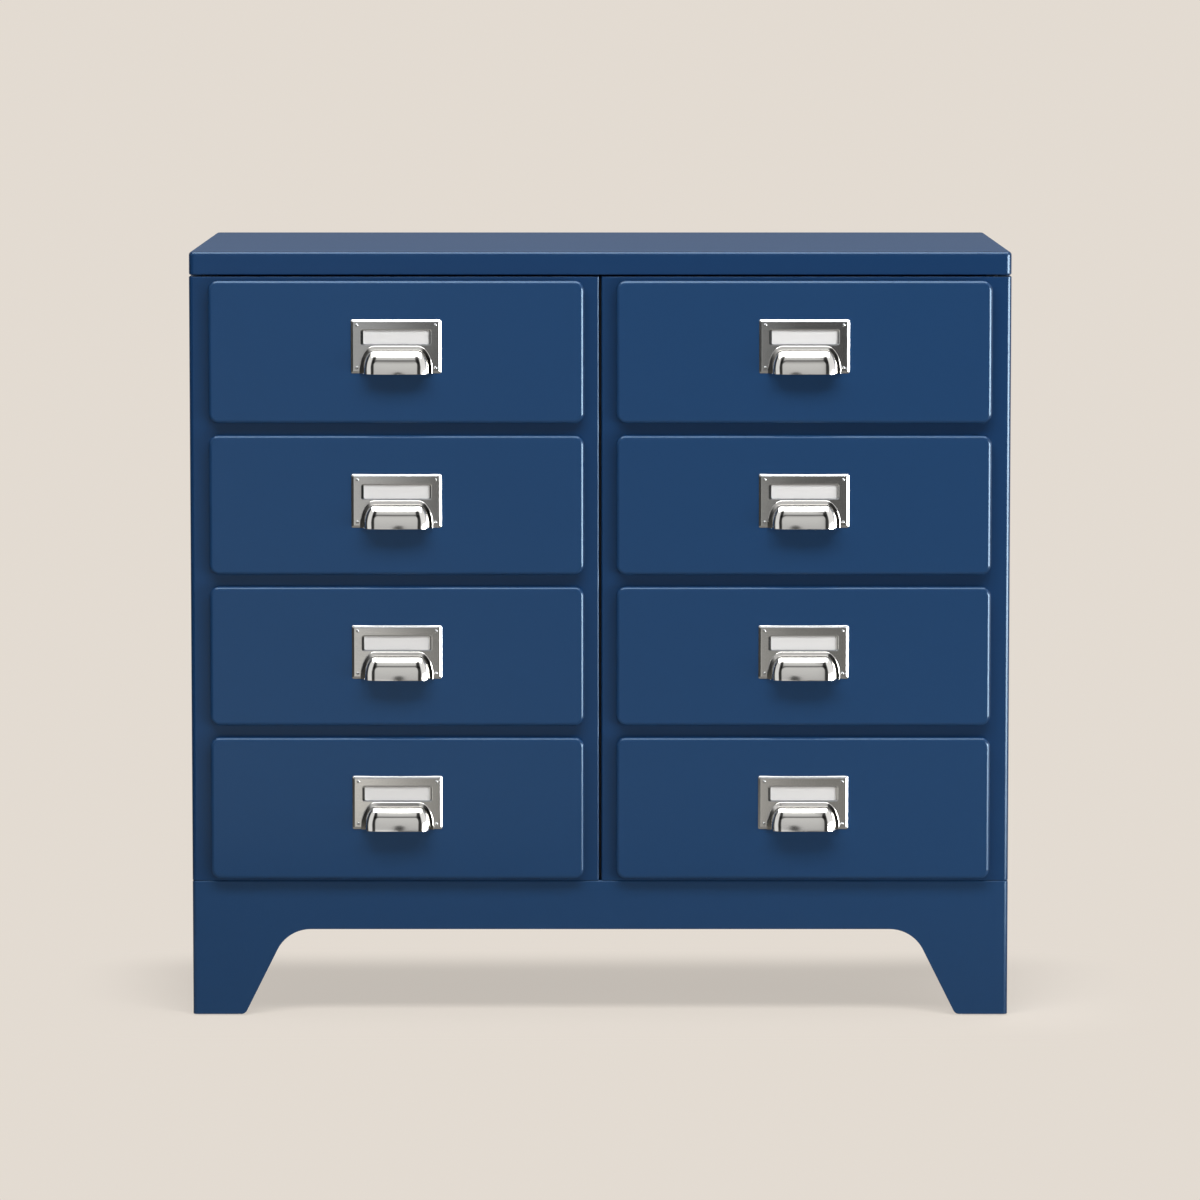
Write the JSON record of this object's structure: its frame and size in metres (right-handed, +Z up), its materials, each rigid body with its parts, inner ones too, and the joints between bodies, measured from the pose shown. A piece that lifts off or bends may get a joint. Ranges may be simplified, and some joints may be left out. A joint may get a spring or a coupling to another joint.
{
  "type": "metal drawer cabinet",
  "caption": "Steel drawer cabinet: two cases side by side under one cover on a legged base, with sliding drawers and label-holder cup pulls.",
  "frame": {"origin": "centre of the whole cabinet's footprint, pulls included, at floor level", "axes": "+Z up, +Y towards the back, +X to the right for someone who faces the drawers"},
  "size_m": [0.72, 0.4066, 0.6755],
  "materials": {
    "blue_enamel": "satin dark blue stove enamel",
    "grey_enamel": "satin grey enamel inside the drawers",
    "nickel_plate": "bright nickel plate",
    "zinc_steel": "zinc-plated steel",
    "card": "blank white card",
    "black_plastic": "black rubber"
  },
  "bodies": {
    "cabinet": {"top_cover": "blue_enamel", "cover_clinch_nuts": "zinc_steel", "cover_screws": "zinc_steel", "case_tie_bolts": "zinc_steel", "case_tie_nuts": "zinc_steel", "case_spacer_strips": "black_plastic", "left_case_shell": "blue_enamel", "left_top_pan": "blue_enamel", "left_floor_pan": "blue_enamel", "left_back_panel": "blue_enamel", "left_runners": "zinc_steel", "right_case_shell": "blue_enamel", "right_top_pan": "blue_enamel", "right_floor_pan": "blue_enamel", "right_back_panel": "blue_enamel", "right_runners": "zinc_steel", "base_front": "blue_enamel", "base_back": "blue_enamel", "base_side_aprons": "blue_enamel", "foot_glides": "black_plastic"},
    "left_drawer_1": {"left_drawer_1_front": "blue_enamel", "left_drawer_1_box": "grey_enamel", "left_drawer_1_pull": "nickel_plate", "left_drawer_1_card": "card"},
    "left_drawer_2": {"left_drawer_2_front": "blue_enamel", "left_drawer_2_box": "grey_enamel", "left_drawer_2_pull": "nickel_plate", "left_drawer_2_card": "card"},
    "left_drawer_3": {"left_drawer_3_front": "blue_enamel", "left_drawer_3_box": "grey_enamel", "left_drawer_3_pull": "nickel_plate", "left_drawer_3_card": "card"},
    "left_drawer_4": {"left_drawer_4_front": "blue_enamel", "left_drawer_4_box": "grey_enamel", "left_drawer_4_pull": "nickel_plate", "left_drawer_4_card": "card"},
    "right_drawer_1": {"right_drawer_1_front": "blue_enamel", "right_drawer_1_box": "grey_enamel", "right_drawer_1_pull": "nickel_plate", "right_drawer_1_card": "card"},
    "right_drawer_2": {"right_drawer_2_front": "blue_enamel", "right_drawer_2_box": "grey_enamel", "right_drawer_2_pull": "nickel_plate", "right_drawer_2_card": "card"},
    "right_drawer_3": {"right_drawer_3_front": "blue_enamel", "right_drawer_3_box": "grey_enamel", "right_drawer_3_pull": "nickel_plate", "right_drawer_3_card": "card"},
    "right_drawer_4": {"right_drawer_4_front": "blue_enamel", "right_drawer_4_box": "grey_enamel", "right_drawer_4_pull": "nickel_plate", "right_drawer_4_card": "card"}
  },
  "joints": [
    {"name": "left_drawer_1_slide", "type": "slide", "parent": "cabinet", "child": "left_drawer_1", "axis": [0, -1, 0], "range_m": [0, 0.27]},
    {"name": "left_drawer_2_slide", "type": "slide", "parent": "cabinet", "child": "left_drawer_2", "axis": [0, -1, 0], "range_m": [0, 0.27]},
    {"name": "left_drawer_3_slide", "type": "slide", "parent": "cabinet", "child": "left_drawer_3", "axis": [0, -1, 0], "range_m": [0, 0.27]},
    {"name": "left_drawer_4_slide", "type": "slide", "parent": "cabinet", "child": "left_drawer_4", "axis": [0, -1, 0], "range_m": [0, 0.27]},
    {"name": "right_drawer_1_slide", "type": "slide", "parent": "cabinet", "child": "right_drawer_1", "axis": [0, -1, 0], "range_m": [0, 0.27]},
    {"name": "right_drawer_2_slide", "type": "slide", "parent": "cabinet", "child": "right_drawer_2", "axis": [0, -1, 0], "range_m": [0, 0.27]},
    {"name": "right_drawer_3_slide", "type": "slide", "parent": "cabinet", "child": "right_drawer_3", "axis": [0, -1, 0], "range_m": [0, 0.27]},
    {"name": "right_drawer_4_slide", "type": "slide", "parent": "cabinet", "child": "right_drawer_4", "axis": [0, -1, 0], "range_m": [0, 0.27]}
  ]
}
